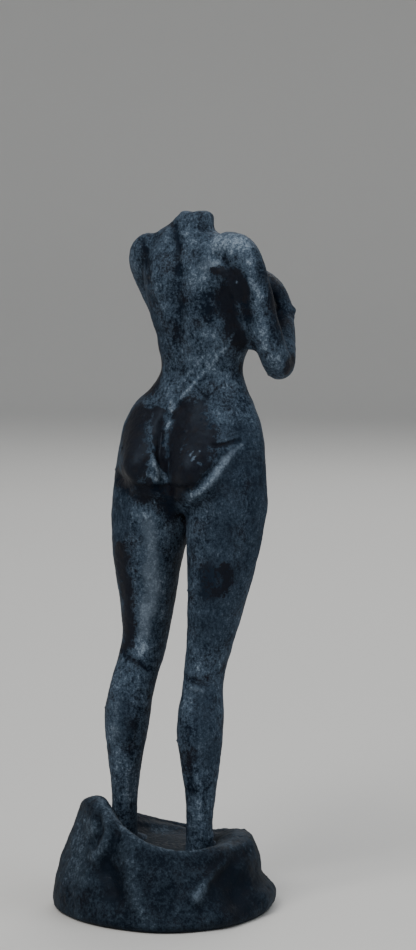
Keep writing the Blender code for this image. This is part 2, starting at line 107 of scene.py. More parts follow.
# Leg sections: height, middle x, middle y, half width, half depth.
RIGHT_LEG = [
    (128, -16.2, -8.8, 11.4, 9.6),
    (118, -16.3, -8.5, 12, 10.9),
    (110, -15.6, -8.3, 11.4, 10.6),
    (99, -14.8, -7.8, 9.9, 9.9),
    (88, -13.6, -6.8, 8.2, 8.8),
    (78, -12.3, -5.8, 6.8, 7.4),
    (71, -11.5, -4.6, 6.1, 6.6),
    (64, -11.3, -3, 5.9, 6.3),
    (57, -11.6, -1.3, 6.6, 7.1),
    (50, -11.8, -0.4, 6.5, 7.1),
    (43, -12.2, 0, 5.7, 6.1),
    (36, -12.4, 0.2, 4.6, 5),
    (29, -12.3, 0.6, 4, 4.4),
    (22, -12.3, 0.8, 3.9, 4.5),
    (15, -12.3, 0.8, 4, 4.9),
]
LEFT_LEG = [
    (128, 8.2, -8.4, 11.2, 9.6),
    (118, 8.6, -8, 11.6, 10.9),
    (110, 8.5, -8, 12.2, 10.7),
    (101, 9.6, -7.8, 10.4, 10),
    (88, 9.8, -7.6, 8, 8.6),
    (78, 10, -7, 6.8, 7.2),
    (71, 10.8, -5.2, 6.6, 7),
    (64, 11.8, -2.6, 6.6, 6.9),
    (57, 12.3, -0.8, 6.7, 7.1),
    (50, 12.6, 0, 6.1, 6.7),
    (43, 12.6, 0.5, 5.1, 5.7),
    (36, 12.6, 0.8, 4.2, 4.7),
    (29, 12.6, 1, 3.7, 4.2),
    (22, 12.6, 1, 3.7, 4.4),
    (15, 12.6, 1, 3.9, 4.8),
]

# A foot along its length: distance in front of the heel, height, half width, half height.
FOOT = [
    (0, 3.2, 1.8, 2.2),
    (2.6, 3.8, 3.2, 3.8),
    (7, 4.2, 3.4, 4.2),
    (12, 3, 3.6, 3),
    (17, 2.1, 3.8, 2.1),
    (20.5, 1.6, 3, 1.5),
]
FOOT_TURN = math.radians(3)
HEEL_Y = 5.4

# Arm sections: x, y, z of the middle line, half width, half depth. The hand is the flat far end.
RIGHT_ARM = [
    (-14.2, -9.5, 190.5, 4.9, 4.8),
    (-19.2, -8.9, 190.2, 5, 5),
    (-22, -8.6, 187.2, 5, 5.2),
    (-23.8, -9.6, 182, 4.6, 4.9),
    (-25.1, -11.4, 174.5, 4.4, 4.6),
    (-26.3, -13.2, 166.5, 4.5, 4.6),
    (-27.8, -15.2, 160.4, 4.3, 4.4),
    (-27.6, -19.2, 157, 4.1, 4.3),
    (-26.2, -23.6, 160, 4, 4.2),
    (-23.6, -28.8, 165.6, 3.7, 3.9),
    (-21.6, -33, 170.2, 3, 3.5),
    (-20.9, -34.2, 173.6, 2.5, 4.2),
    (-18.8, -33.2, 178.6, 2.4, 4.8),
    (-15.4, -31.2, 182, 2.2, 4.6),
    (-11.2, -28.2, 183, 1.8, 4.1),
    (-7.6, -25.6, 183.8, 1.3, 3),
]
LEFT_ARM = [
    (7, -10, 190, 4.4, 4.4),
    (10.8, -10.6, 190, 4.9, 4.9),
    (13, -12.6, 186.8, 4.9, 5.1),
    (13.2, -15.8, 181.6, 4.5, 4.7),
    (12.4, -20.2, 174.5, 4.1, 4.4),
    (11.4, -24.2, 167, 4, 4.2),
    (10.4, -27.8, 160.5, 4.1, 4.3),
    (8.8, -30.6, 155, 4, 4.2),
    (6.6, -31.8, 148, 3.9, 4),
    (4, -32, 139, 3.3, 3.4),
    (2, -31.4, 131.5, 2.4, 3.1),
    (0.8, -30.6, 128, 2.1, 3.6),
    (-0.9, -28.8, 122.8, 2, 4.3),
    (-2.4, -26.8, 118.2, 1.9, 4.1),
    (-3.6, -24.8, 114.2, 1.6, 3.6),
    (-4.4, -23.2, 111.2, 1.1, 2.6),
]
WEB = [  # between the right arm and the back, down to the armpit
    (-13, -6.4, 186, 3.6, 3.6),
    (-18.5, -7, 182.5, 3.2, 3.4),
    (-20.6, -8.8, 176, 2.2, 2.6),
    (-20.9, -10.6, 169, 1.5, 2.2),
    (-21.6, -12.2, 164.4, 1.3, 1.8),
    (-21.8, -13, 161.6, 1.4, 1.6),
]
THUMB = [
    (-20.6, -32.6, 168.5, 2.2, 2.2),
    (-22, -34.4, 170.8, 2, 2),
    (-23.2, -35.8, 172.2, 1.4, 1.4),
    (-23.9, -36.7, 172.9, 0.6, 0.6),
]
PALM_ROWS = 14  # arm sections up to the knuckles
FINGER_REACH = (0.8, 1, 0.94, 0.74)

# The rock every 30 degrees from +X towards +Y: radius at the floor, at half height and at the rim,
# the height of the rim, and how thick the rim is.
ROCK = [
    (31.2, 29.8, 24, 26.5, 6.6),
    (32.2, 30.6, 24.4, 31.8, 8.8),
    (31.6, 29.8, 24.2, 33.2, 7),
    (31.9, 29.8, 25, 27, 5.6),
    (33.8, 31.2, 26, 22.3, 5.4),
    (33.3, 30.8, 25.8, 21.2, 5.4),
    (32, 29.8, 26, 21.2, 8),
    (32, 29.4, 26.2, 21.8, 9.6),
    (32.2, 29.6, 26, 19.8, 8),
    (32.5, 30.6, 26.4, 17.8, 5.4),
    (32.5, 31, 26.6, 19.9, 5),
    (31.6, 30.4, 25.4, 23.6, 5.6),
]
ROCK_SIDES = 360
ROCK_SKIN_STEPS = 120  # faces along the rock's profile, each about 0.6 long
ROCK_FLOOR_Z = 16.6  # the basin's floor, high enough to bury the toes
ROCK_BOTTOM_Z = 0.4
ROCK_CEILING_Z = 8
ROCK_SHELL = 4.5
FELT_SIDES = 240
FLOOR_SIDES = 96
FELT_THICK = 1.2
PLATE_SEAT_Z = 3.4
ROD_SIDES = 32
SCREWS = 3
SCREW_CIRCLE = 20
SCREW_TURN = math.radians(75)
SCREW_TOP_Z = 7.4
SCREW_RADIUS = 1.2
BOSS_RADIUS = 3.4
STUDS = {"right": (-12.3, 0.8), "left": (12.6, 1)}
STUD_RADIUS = 1.5
STUD_FOOT_Z = 5
STUD_TOP_Z = 26
SHARP = math.radians(60)  # edges sharper than this stay crisp

# The sides that strokes are drawn on: azimuth in degrees, and how far towards the viewer the skin
# has to lie. Azimuth 0 faces the figure, 210 is behind its right shoulder, None is from above.
VIEWS = {
    "behind": (210, -14),
    "front": (0, 8),
    "right": (270, 4),
    "left": (90, 2),
    "hand": (210, -34),
    "edge": (300, 5),
    "far_edge": (120, 5),
    "above": (None, -99),
}

# Lines on the back that are both carved and painted, as points across and up.
WAIST_FOLD = [(20.4, 167), (18.6, 163.4), (15.5, 159.6), (12, 155.8), (8.5, 151.8), (5.4, 148.4)]
FLANK_CREASE = [(8, 152.4), (10.4, 150.2), (12.4, 148.2), (15, 150.4)]
HIP_CREASE = [(14.6, 135.1), (18, 135.5), (21.6, 136.5)]

# Sculpting strokes by view: width, height (below 0 cuts in), points of the line.
CARVING = {
    "behind": [
        (1.1, -0.55, (3.2, 197), (4.3, 191), (4.4, 184)),  # hollow of the spine
        (2, -0.35, (4.2, 180), (4.5, 172), (3.5, 164), (2.5, 154)),
        (1.2, -0.5, (-6.5, 194), (-5.4, 190), (-4.4, 186), (-4.2, 181)),  # left shoulder
        (2.6, 0.7, (8, 196), (13, 192), (18, 192)),  # right trapezius
        (1.6, 0.5, (2, 195), (-1, 191)),  # left trapezius
        (3, 0.6, (12, 188), (15, 184)),
        (2.2, -0.35, (9.5, 179), (14, 177)),  # under the right shoulder blade
        (1.8, -0.3, (1.5, 178), (-1.5, 176)),
        (2.6, 0.45, (8, 172), (7.5, 160), (7, 152)),  # long muscles of the back
        (2.4, 0.35, (0.5, 170), (0, 158), (0.5, 151)),
        (0.6, 0.12, *WAIST_FOLD),
        (0.36, -0.2, *FLANK_CREASE, (17.6, 152.6)),
        (1.8, -0.5, (4, 145.5), (2, 143.5)),  # hollow over the cleft
        (1.6, -0.4, (12, 147)),
        (1.1, -1.2, (1.2, 143), (-0.6, 139.5), (-1, 136), (-1.2, 132), (-0.6, 128), (0.4, 125)),
        (0.6, -0.55, *HIP_CREASE),  # beside the right buttock
        (1.4, -0.8, (7, 122.6), (10, 124), (13.4, 127.6), (16.4, 131.4)),
        (1.2, 0.4, (8.4, 120.4), (10.8, 122.2), (14.2, 125.6), (17.2, 129.6), (19.4, 132.6)),
        (1.4, -0.9, (-12, 124.5), (-9.5, 122.5), (-5, 122), (-1.5, 122), (2.5, 122.5), (6, 122.5)),
        (1.1, -0.42, (-9, 71.4), (-6.8, 70.6), (-4.8, 68.8)),  # hollows of the knees
        (1.1, -0.34, (6.5, 68), (9.5, 67), (12, 67.5)),
        (1, 0.25, (9, 65), (11, 64.5)),
        (1.3, -0.35, (-6.5, 62), (-7, 54), (-8, 46)),  # between the heads of each calf
        (1.3, -0.35, (9.5, 61), (9, 53), (8.5, 45)),
        (1, 0.35, (-10.5, 40), (-11, 30), (-11, 20)),  # heel tendons
        (1, 0.35, (10, 40), (10.5, 30), (10.5, 20)),
        (1.2, -0.3, (27.5, 186), (27.5, 178), (29, 170)),  # along the upper arm
        (1, -0.4, (34.5, 159.5), (37, 158.5)),
    ],
    "front": [
        (1.2, -0.4, (-4, 188), (-4.3, 181), (-4, 172), (-4.2, 164)),  # breast bone
        (1.1, 0.6, (-6, 190), (-11, 191.5), (-16, 191)),  # collar bones
        (1.1, 0.6, (-1.5, 190), (3, 191.5), (8, 191)),
        (1, -0.5, (-4, 192.5)),  # pit of the throat
        (1.1, -0.35, (-4.6, 163), (-5, 155), (-4.9, 150)),  # middle line of the belly
        (1.4, -0.5, (-9, 163), (-12, 160)),  # below the ribs
        (1.4, -0.5, (-1, 163), (2, 160)),
        (0.9, -0.5, (-4.9, 148.5)),  # navel
        (1.3, -0.8, (-4.2, 117), (-9, 121), (-15, 125), (-20, 130.5)),  # groins
        (1.3, -0.8, (-4.2, 117), (1, 121), (7, 125), (12, 130.5)),
        (3.2, 0.9, (-12, 72)),  # knee caps
        (3.2, 0.9, (10.5, 73)),
        (0.9, -0.45, (-15.2, 74), (-14.4, 68.5), (-12, 66.8), (-9.4, 68.8), (-8.8, 74)),
        (0.9, -0.45, (7.4, 75), (8.2, 69.5), (10.8, 67.8), (13.4, 69.8), (14, 75)),
        (1.2, 0.4, (-11.8, 62), (-11.6, 48), (-12.2, 32)),  # shins
        (1.2, 0.4, (12, 62), (12.4, 48), (12.8, 32)),
    ],
    "right": [(1.2, 0.5, (0, 22))],  # ankle bones
    "left": [(1.2, 0.5, (0.5, 22))],
}

MOST_BRUSH = 0.7  # the most that strokes change the load of pale paint

# Brushing strokes by view, some of them painted shade and painted highlights: width, amount of pale paint
# (below 0 takes it off), points of the line.
BRUSHING_AND_PAINTED_LIGHT = {
    "behind": [
        (2.2, 0.65, (16, 193.6), (19, 192.8), (23.5, 191.8)),  # right shoulder
        (2.8, 0.3, (14, 191), (14.6, 188), (11, 184.4), (9.6, 181.4)),
        (1.2, 0.4, (14, 191.4), (15, 188), (14.4, 186.6)),
        (0.5, -0.4, (20.8, 191.5), (20.4, 188.4)),
        (0.5, -0.35, (18, 190.6), (17.4, 188)),
        (1.5, 0.3, (17.5, 190), (21, 189.6)),
        (1.5, 0.35, (6.5, 195.5), (8.2, 193)),
        (1.2, 0.45, (24.4, 188), (24.6, 183.5), (25.4, 180)),  # right arm
        (1.2, 0.55, (27.2, 180), (28, 173), (28.6, 167), (28.8, 163)),
        (2, 0.25, (31, 161), (33, 157.5)),
        (2.2, 0.3, (13, 165.6), (16, 163), (14, 159.6)),
        (2.2, 0.2, (4, 158), (9, 158.5), (13, 156)),
        (1.6, 0.3, (16.8, 153.6), (19, 151.6)),
        (0.5, 0.34, *WAIST_FOLD),
        (0.4, 0.3, (11, 159.4), (8.6, 156.4), (5.8, 153)),
        (1.3, 0.3, (4.2, 154), (3.8, 150.5), (2.4, 146.8)),
        (0.6, 0.5, (6.6, 149.8), (4.3, 147.2), (2.2, 143.8), (1, 139.5)),
        (2.4, 0.12, (15, 145), (17.5, 141), (19, 136)),
        (0.5, 0.1, (-3.6, 132), (-2.8, 129.8)),  # left buttock
        (0.8, 0.6, (-2.8, 129.4), (-1.4, 127.4), (0.6, 125.2)),
        (1.3, 0.5, (-5, 125.8), (-2.6, 125.2), (0.4, 124.6)),
        (0.42, 1, (8, 131), (10.4, 133.8)),  # painted highlights: glints on the varnish of the right buttock, drawn as pale scratches
        (0.5, 0.9, (9.6, 130.6), (10.6, 130.2)),
        (0.35, 0.6, (7.4, 132.4), (8.6, 133.8)),
        (1.1, 0.4, (8, 120.8), (11, 122.8)),
        (1.4, 0.6, (11.6, 123.6), (14.4, 127), (17.2, 130.8)),
        (0.9, 0.4, (17.6, 131.4), (20, 133.6), (22.4, 135)),
        (2.7, 0.45, (-4.8, 114), (-3.6, 107), (-3.6, 98)),  # left thigh
        (2.6, 0.6, (-3.2, 96), (-2.8, 92), (-4.2, 87)),
        (1.9, 0.55, (-5.2, 86), (-5.6, 79), (-6.4, 74.5)),
        (1.4, 0.22, (-13.5, 64), (-14, 57), (-14, 48), (-13, 40)),  # calves and ankles
        (1.8, 0.3, (-9.6, 38), (-9.3, 31)),
        (1.6, 0.2, (10.3, 73.5), (10.3, 70)),
        (1, 0.3, (8.5, 65.5), (11, 64.5)),
        (1.5, 0.12, (7, 64), (6.5, 59)),
        (2, 0.22, (8.5, 31), (8.5, 26)),
        (1, -0.28, (3, 197), (4.2, 191), (4.3, 184)),
        (1.6, -0.25, (-6.5, 194), (-5.6, 190.5)),
        (0.6, -0.35, (-4.3, 187), (-4.2, 181.5)),
        (3.4, -0.15, (5, 176), (12, 174.5)),
        (2, -0.22, (14, 177), (13, 172)),
        (2.5, -0.12, (1, 170), (3, 166)),
        # painted shade down the gap between the right arm and the back
        (1.7, -0.5, (23, 179.5), (24, 175), (24.6, 171)),
        (0.7, 0.3, (24.4, 177), (25.4, 174.4), (25.8, 171.6)),
        # painted highlight: a pale dot for a glint on the varnish behind the right armpit
        (0.4, 1, (20.9, 181.2)),
        (0.36, -0.3, *FLANK_CREASE),
        (0.55, -0.5, *HIP_CREASE),
        # painted shade on the right flank and hip, the side turned from the light
        (3, -0.14, (22, 138), (24, 128), (24, 118)),
        # painted shade in the folds under the buttocks and between the thighs
        (2.6, -0.6, (-3.6, 122), (0.5, 121.5), (3, 121)),
        (2.6, -0.3, (-12.6, 122.6), (-9, 120.4), (-5, 119.4)),
        (2.2, -0.4, (0.5, 118), (1.5, 114)),
        (2, -0.7, (13, 99.5), (12.4, 93)),
        (1.2, -0.35, (-8.8, 54), (-9.8, 49), (-10, 44.5)),
        (1.4, -0.35, (7, 54), (7.2, 45), (7.6, 36)),
        # painted shade on the outer side of the right calf, turned from the light
        (2, -0.15, (13.5, 61), (13, 56)),
        (1.2, -0.3, (-12.6, 74), (-9, 71.4), (-6, 70)),
    ],
    # partly painted shade: the right hand lies in shade against the chest, and it also carries less pale
    # paint
    "hand": [(3.8, -0.5, (31, 182), (32.5, 176), (33.5, 169))],
    "front": [
        (4, 0.16, (-14, 186), (-4, 188), (8, 186)),
        (2.6, 0.3, (-11, 174)),
        (2.6, 0.3, (3, 174)),
        (5, 0.14, (-5, 140)),
        (2.4, 0.3, (-15, 112), (-14, 96), (-13, 82)),
        (2.4, 0.3, (9, 112), (10, 96), (10, 82)),
        (2, 0.3, (-11.8, 72), (-11.6, 50), (-12.2, 34)),
        (2, 0.3, (10.6, 73), (12.3, 50), (12.7, 34)),
    ],
    "right": [(3, 0.14, (8, 120), (8, 100), (6, 84))],
    "left": [(3, 0.2, (-8, 120), (-8, 100), (-7, 84))],
}

# Gloss varnish over the dark paint, by view: width, points of the line.
VARNISH = {
    "behind": [
        (2.6, (18.6, 183), (21.6, 181.6), (20.6, 177.6)),  # behind the right armpit
        (1.4, (14.4, 184.8), (17.5, 184)),
        (2.2, (18.6, 178), (18.2, 173.5), (19.4, 170), (20.8, 167), (21.4, 164.4)),
        (4.1, (-8.6, 142), (-9.2, 137), (-9.4, 131), (-9.4, 127)),  # left buttock
        (1.8, (-9.5, 143.8), (-4.6, 143)),
        (1.2, (-5.6, 131), (-7, 127.4), (-4, 124.6)),
        (1.5, (-1.6, 143.4), (-1.6, 139), (-1.4, 134), (0.4, 127.6)),
        (4.9, (7, 142.8), (10, 137.4), (9, 131), (6.6, 127)),  # right buttock
        (2.2, (4.4, 139.6), (3.4, 134), (3.2, 127.6)),
        (1.8, (-12.6, 104), (-11.8, 97), (-10.2, 90), (-10, 83), (-9.6, 76)),  # left thigh
        (1.7, (17.6, 99.8), (18, 96.4), (16.2, 93.2)),  # right thigh
        (1.6, (35, 156.5), (37, 158)),
    ],
    "front": [
        (2.2, (-8, 127), (-3, 129.5), (3, 127)),
        (1.5, (-19.4, 104), (-18.6, 99), (-19.2, 95)),
        (1.7, (13.2, 92), (14.6, 88), (13.6, 83)),
    ],
    "left": [
        (2.2, (-8, 150), (-10, 156), (-9, 161)),
        (1.8, (-4, 67), (-2, 62), (-3, 56)),
    ],
}

# Thin slate wash that evens out the speckles, by view: width, points of the line.
WASH = {
    "behind": [
        (5.6, (20, 131), (18, 118), (17.4, 106), (16.6, 94), (14, 82)),
        (2.2, (-5.5, 178), (-3.6, 170), (-1.4, 162)),
        (2.6, (-12, 118), (-12.4, 108)),
        (3, (-4.6, 111), (-3.6, 102), (-3.6, 91), (-5.4, 80)),
        (2, (11, 187), (13.6, 184.6)),
        (2.6, (-12, 60), (-12.6, 50)),
        (3.4, (11.6, 64), (11.4, 56), (12.6, 46)),
    ],
    "right": [(5, (6, 136), (7, 118), (7, 100))],
}

# The rock's folds, its pale and dark parts and its matt wash, in the same forms; some of the dark parts
# are painted shade.
ROCK_CARVING = {
    "behind": [
        (1.6, 1.3, (-16.2, 29), (-15.6, 26), (-17, 22.5), (-19.6, 19)),
        (1.5, -1.3, (-18.8, 29), (-18.4, 25.5), (-20, 22.5)),
        (1.7, -1.1, (-13.6, 25.5), (-14.6, 22), (-16.8, 18.5)),
        (4.5, -0.9, (-24, 27), (-25, 18)),
        (3.8, -2.4, (-16, 15), (-14.4, 10)),
        (3, 1.2, (-10, 22), (-8.6, 14), (-7.2, 8)),
        (1.8, 1.5, (9, 9.6), (10.4, 11.6)),
        (1.2, 0.9, (11.5, 13), (15, 15.6), (18, 17.4)),
        (4.6, -2.6, (18, 14), (21.5, 9.5)),
        (3, -0.7, (0, 18), (3, 12), (1, 5)),
        (2.6, 0.8, (13, 4.5), (19, 3)),
    ],
    "edge": [
        (2, -0.5, (-12, 9.4), (0, 10), (10, 9.4)),
        (2.6, 1, (-12, 4.5), (10, 4.5)),
    ],
    "far_edge": [(7, -0.8, (-12, 17), (12, 17))],
}
ROCK_BRUSHING_AND_PAINTED_SHADE = {
    "above": [
        (0.9, 0.5, (14, 15.5), (8.5, 19.5), (0, 22.4), (-11.6, 20.6), (-19, 13.4)),
        (1.8, 1.2, (8, -16.5), (10.6, -13.6)),
        # painted shade in the basin: a shadow beside the left foot and a darker floor
        (2.2, -0.6, (14.5, -8), (13.4, -12)),
        (6, -0.7, (3, -4), (-4, -8)),
        (2.4, 0.32, (-15, -15), (-20, -8), (-21, 3)),
    ],
    "behind": [
        (0.8, 0.3, (-19, 33), (-15.5, 30.6), (-12, 27.6), (-8, 25), (-3, 22.8), (4, 21.4), (8, 21)),
        (1.2, 0.3, (-17, 28.5), (-16, 25.5), (-17.4, 22), (-20, 18.8)),
        (3.4, 0.75, (-22.5, 26), (-24.5, 20), (-25.5, 13)),
        (2.2, 0.3, (-9.4, 18), (-8.2, 9), (-4.6, 3)),
        (1.7, 0.8, (9.4, 10), (11, 11.6)),
        (0.8, 0.2, (12.5, 13.4), (15, 15.6), (18, 17.4)),
        # painted shade in the two deep hollows of the wall
        (3.4, -0.35, (-16, 15), (-14.4, 10)),
        (5, -0.5, (18, 14), (21.5, 8)),
        # painted shade along the foot of the rock, where it meets the floor
        (1.6, -0.25, (-20, 2), (0, 0), (24, 3)),
    ],
}
ROCK_WASH = {"above": [(8, (9, -1), (-8, -6))]}


def between(four_rows, t):
    """The row at a share t of the way from the second row to the third, on a Catmull-Rom curve."""
    first, second, third, fourth = (np.array(row, float) for row in four_rows)
    bend = 2 * first - 5 * second + 4 * third - fourth
    twist = 3 * (second - third) + fourth - first
    return second + 0.5 * (t * (third - first) + t**2 * bend + t**3 * twist)


def smooth_rows(rows, steps):
    """The rows, with steps - 1 more placed smoothly between each two."""
    last = len(rows) - 1
    made = []
    for i in range(last):
        around = [rows[max(0, min(last, i + offset))] for offset in (-1, 0, 1, 2)]
        made.extend(between(around, step / steps) for step in range(steps))
    made.append(np.array(rows[last], float))
    return np.array(made)


def ring_skin(rings):
    """Points and faces of the closed skin through rings of equal count."""
    rings = np.asarray(rings, float)
    rows, count = rings.shape[:2]
    at = np.arange(rows * count).reshape(rows, count)
    low, high = at[:-1], at[1:]
    quads = np.stack([low, np.roll(low, -1, 1), np.roll(high, -1, 1), high], -1).reshape(-1, 4)
    return rings.reshape(-1, 3), [*quads.tolist(), at[0][::-1].tolist(), at[-1].tolist()]


def joined(skins):
    """Several skins as one list of points and one of faces."""
    points, faces = [], []
    for skin_points, skin_faces in skins:
        offset = sum(len(part) for part in points)
        points.append(skin_points)
        faces.extend([offset + i for i in face] for face in skin_faces)
    return np.concatenate(points), faces


def circle(count):
    angles = 2 * math.pi * np.arange(count) / count
    return np.cos(angles), np.sin(angles)


def level_ring(sides, z, x, y, half_width, front, back):
    """A ring at one height, with its own depth to the front and to the back."""
    cosines, sines = circle(sides)
    depth = np.where(sines > 0, back, front)
    return np.stack([x + half_width * cosines, y + depth * sines, np.full(sides, z)], 1)


def torso_skin():
    rings = []
    for z, x, y, *sizes in smooth_rows(TORSO, BODY_STEPS):
        ring = level_ring(TORSO_SIDES, z, x, y, *sizes)
        off = ring[:, 1] - y
        push = np.zeros(TORSO_SIDES)
        for side, at_x, at_z, spread_x, spread_z, height in RELIEF:
            fade = np.where(side * off > 0, np.minimum(1, abs(off) / 5), 0)
            reach = ((ring[:, 0] - at_x) / spread_x) ** 2 + ((z - at_z) / spread_z) ** 2
            push += side * height * fade * np.exp(-reach)
        ring[:, 1] += push
        rings.append(ring)
    return ring_skin(rings)


def leg_skin(sections):
    return ring_skin([level_ring(LEG_SIDES, *row, row[-1]) for row in smooth_rows(sections, BODY_STEPS)])


def foot_skin(x, turn):
    cosines, sines = circle(FOOT_SIDES)
    rings = []
    for ahead, height, half_width, half_height in smooth_rows(FOOT, 6):
        across = half_width * cosines
        ring_x = x + across * math.cos(turn) + ahead * math.sin(turn)
        ring_y = HEEL_Y + across * math.sin(turn) - ahead * math.cos(turn)
        up = np.maximum(0, height + half_height * sines)
        rings.append(np.stack([ring_x, ring_y, SOLE_Z + up], 1))
    return ring_skin(rings)


def arm_frames(sections, steps):
    """Rows along an arm, with the directions across its thin and its broad way at each."""
    rows = smooth_rows(sections, steps)
    points = [Vector(row[:3]) for row in rows]
    thin = Vector((0, 0, 1))
    frames = []
    for i, row in enumerate(rows):
        along = (points[min(i + 1, len(rows) - 1)] - points[max(i - 1, 0)]).normalized()
        thin = (thin - along * thin.dot(along)).normalized()
        frames.append((points[i], thin.copy(), along.cross(thin), row[3], row[4]))
    return frames


def tube(frames, sides=ARM_SIDES):
    cosines, sines = circle(sides)
    rings = []
    for point, thin, broad, half_width, half_depth in frames:
        ring = np.outer(cosines * half_width, thin) + np.outer(sines * half_depth, broad)
        rings.append(np.array(point) + ring)
    return ring_skin(rings)


def arm_skins(sections):
    """The arm as far as the knuckles, and a skin for each finger."""
    steps = 6
    frames = arm_frames(sections, steps)
    knuckles = (PALM_ROWS - 1) * steps
    skins = [tube(frames[: knuckles + steps // 2])]
    palm_depth = frames[knuckles - steps][4]
    fingers = len(FINGER_REACH)
    for finger, share in enumerate(FINGER_REACH):
        offset = (finger - (fingers - 1) / 2) / fingers * 2
        end = knuckles + max(3, round(share * (len(frames) - knuckles)))
        rows = []
        for i in range(knuckles - steps, min(end, len(frames))):
            point, thin, broad, half_width, half_depth = frames[i]
            left = (end - i) / (end - knuckles + steps)
            thick = min(1.25, 0.62 * half_width) * min(1, 0.45 + 1.6 * left)
            spread = 0.5 * (palm_depth + half_depth)
            rows.append((point + broad * offset * spread, thin, broad, thick, thick * 0.95))
        skins.append(tube(rows, FINGER_SIDES))
    return skins


def raw_mesh(name, points, faces):
    """A mesh from points in millimetres, with its faces pointing out."""
    shape = bmesh.new()
    mesh = bpy.data.meshes.new(name)
    mesh.from_pydata((np.asarray(points) * MM).tolist(), [], faces)
    shape.from_mesh(mesh)
    bmesh.ops.recalc_face_normals(shape, faces=shape.faces)
    shape.to_mesh(mesh)
    shape.free()
    return mesh


def new_object(name, mesh):
    made = bpy.data.objects.new(name, mesh)
    bpy.context.scene.collection.objects.link(made)
    return made


def evaluated_mesh(obj):
    graph = bpy.context.evaluated_depsgraph_get()
    return bpy.data.meshes.new_from_object(obj.evaluated_get(graph))


def read(items, field, width, kind=np.float32):
    """One field of a mesh's points, edges or corners, as rows of that width."""
    values = np.empty(len(items) * width, kind)
    items.foreach_get(field, values)
    return values.reshape(-1, width)


def read_points(mesh):
    return read(mesh.vertices, "co", 3).astype(float) / MM


def write_points(mesh, points):
    mesh.vertices.foreach_set("co", (points * MM).astype(np.float32).ravel())
    mesh.update()


def read_normals(mesh):
    return read(mesh.vertex_normals, "vector", 3).astype(float)


def read_edges(mesh):
    return read(mesh.edges, "vertices", 2, np.int32)


def relaxed(values, edges, times, share=0.5):
    """Values at the points of a mesh, each moved towards the mean of its neighbours."""
    count = len(values)
    degree = np.bincount(edges.ravel(), minlength=count)
    values = values.reshape(count, -1).astype(float)
    share = np.broadcast_to(share, count)[:, None]
    for _ in range(times):
        mean = np.empty_like(values)
        for k in range(values.shape[1]):
            mean[:, k] = np.bincount(edges[:, 0], values[edges[:, 1], k], count)
            mean[:, k] += np.bincount(edges[:, 1], values[edges[:, 0], k], count)
        values = values + share * (mean / degree[:, None] - values)
    return values


def fused_mesh(name, skins):
    rough = new_object(name, raw_mesh(name, *joined(skins)))
    remesh = rough.modifiers.new("fuse", "REMESH")
    remesh.mode = "VOXEL"
    remesh.voxel_size = VOXEL * MM
    mesh = evaluated_mesh(rough)
    bpy.data.objects.remove(rough)
    return mesh


def seen_from(view, points, normals):
    """Where the points lie on that view, and how much their skin faces it, from 0 to 1."""
    azimuth, nearest_depth = VIEWS[view]
    across, up, towards = (1, 0, 0), (0, 1, 0), (0, 0, 1)
    if azimuth is not None:
        turn = math.radians(azimuth)
        across, up = (math.cos(turn), math.sin(turn), 0), (0, 0, 1)
        towards = (math.sin(turn), -math.cos(turn), 0)
    flat = points @ np.array([across, up], float).T
    towards = np.array(towards, float)
    facing = np.clip((normals @ towards + 0.05) / 0.35, 0, 1)
    facing *= np.clip((points @ towards - nearest_depth) / 3, 0, 1)
    return flat, facing


def line_reach(flat, line):
    """How far each point of a view is from a line drawn on it."""
    line = np.array(line, float)
    reach = np.linalg.norm(flat - line[0], axis=1)
    for start, end in zip(line, line[1:]):
        span = end - start
        share = np.clip((flat - start) @ span / (span @ span), 0, 1)
        reach = np.minimum(reach, np.linalg.norm(flat - start - np.outer(share, span), axis=1))
    return reach


def stroked(points, normals, strokes, wobble):
    """The sum of all strokes at each point; each fades out to its width on a bell curve."""
    total = np.zeros(len(points))
    for view, group in strokes.items():
        flat, facing = seen_from(view, points, normals)
        for width, amount, *line in group:
            reach = np.maximum(0, line_reach(flat, line) + wobble)
            total += amount * facing * np.exp(-((reach / width) ** 2))
    return total


def grain(points, size, shift):
    """Smooth noise from -1 to 1 whose features are about that size."""
    offset = Vector((shift, 2 * shift, -shift))
    return np.array([noise.noise(Vector(point) / size + offset) for point in points])


def hollows(points, normals, edges):
    """From -1 on sharp ridges to 1 in deep creases."""
    fine = ((relaxed(points, edges, 6) - points) * normals).sum(1) / 0.05
    # The broad part also serves as painted shade, darkening deep recesses such as the armpit and the
    # cleft.
    broad = ((relaxed(points, edges, 60) - points) * normals).sum(1) / 0.5
    return np.clip(0.5 * fine + 0.7 * broad, -1, 1)


def pimples(points, count, seed):
    """Small lumps and pits left by the casting."""
    draw = np.random.default_rng(seed)
    chosen = draw.integers(0, len(points), count)
    push = np.zeros(len(points))
    for i in chosen:
        radius = draw.uniform(0.35, 0.75)
        height = draw.uniform(0.15, 0.4) * draw.choice((1, 1, -1))
        near = np.linalg.norm(points - points[i], axis=1)
        push += height * np.exp(-((near / radius) ** 2))
    return push


